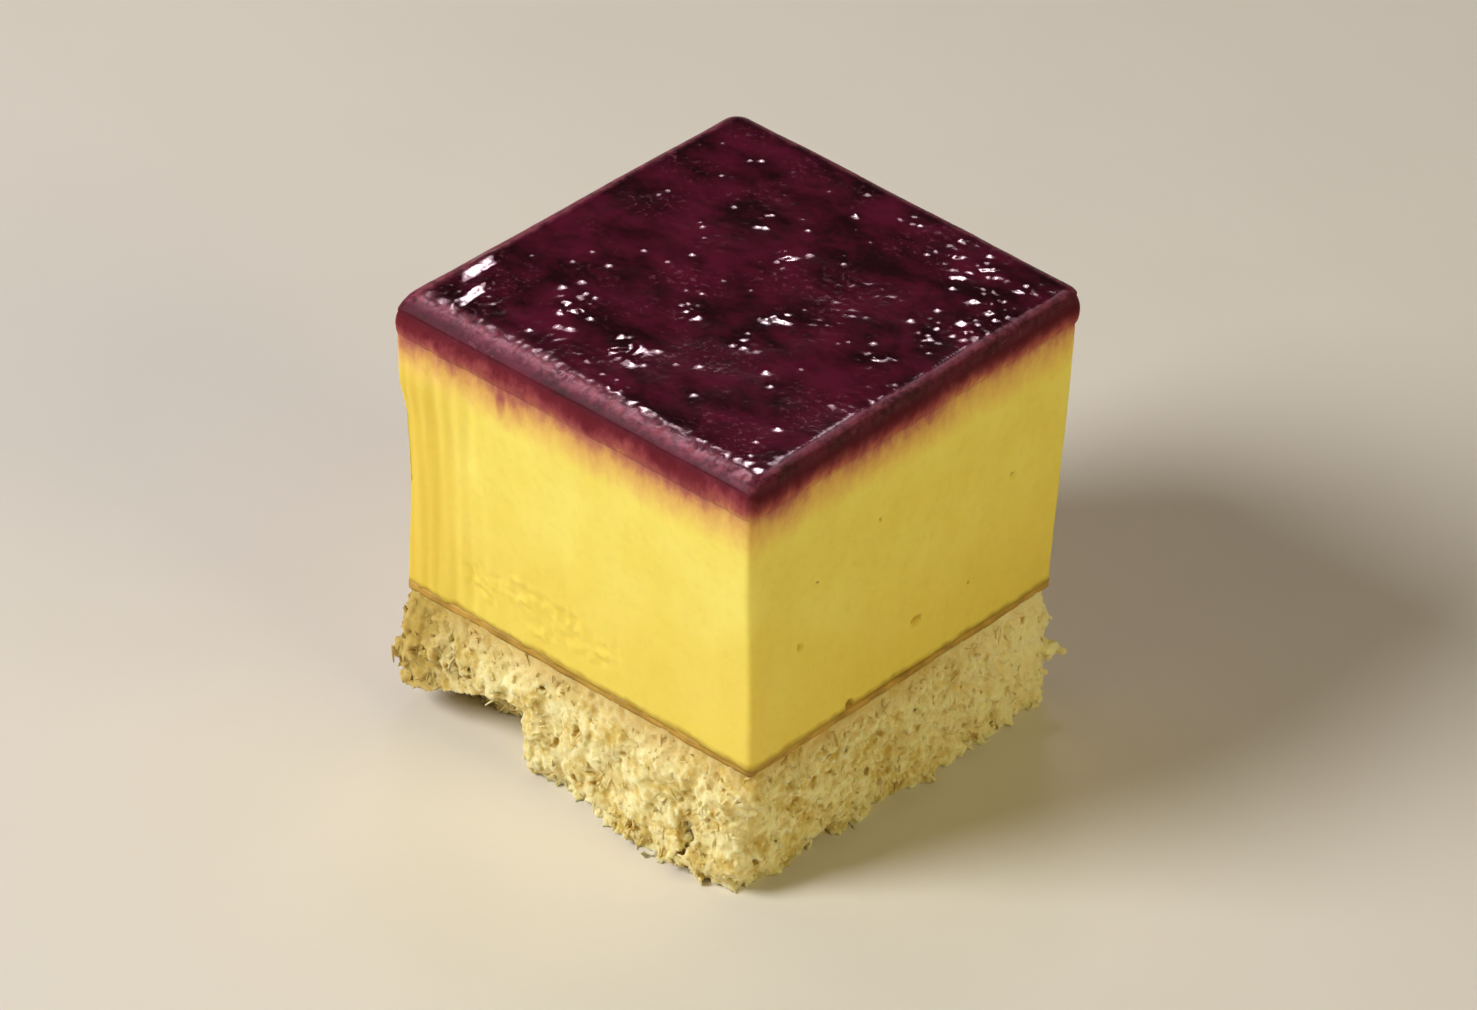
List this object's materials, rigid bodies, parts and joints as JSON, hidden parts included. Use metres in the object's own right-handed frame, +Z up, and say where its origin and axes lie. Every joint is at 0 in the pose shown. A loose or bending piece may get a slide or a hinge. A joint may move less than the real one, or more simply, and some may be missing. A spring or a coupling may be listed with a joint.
{
  "type": "sweet potato cake",
  "caption": "Small cube of layered cake: torn sponge base, thick yellow sweet potato mousse and a thin glossy purple jelly top.",
  "frame": {"origin": "middle of the cake's bounding box, on the surface that its sponge stands on", "axes": "+Z up through the layers; -Y is out of the cut wall that is lit brightest in the picture, and +X is out of the darker cut wall beside it"},
  "size_m": [0.0392, 0.0392, 0.0386],
  "materials": {
    "sponge_crumb": "open, crumbly, dry cake crumb",
    "mousse_yellow": "smooth, moist, knife-cut mousse",
    "jelly_wine": "wet, glossy, slightly uneven set jelly"
  },
  "bodies": {
    "root": {"sponge_base": "sponge_crumb", "sweet_potato_mousse": "mousse_yellow", "purple_jelly_top": "jelly_wine"}
  },
  "joints": []
}
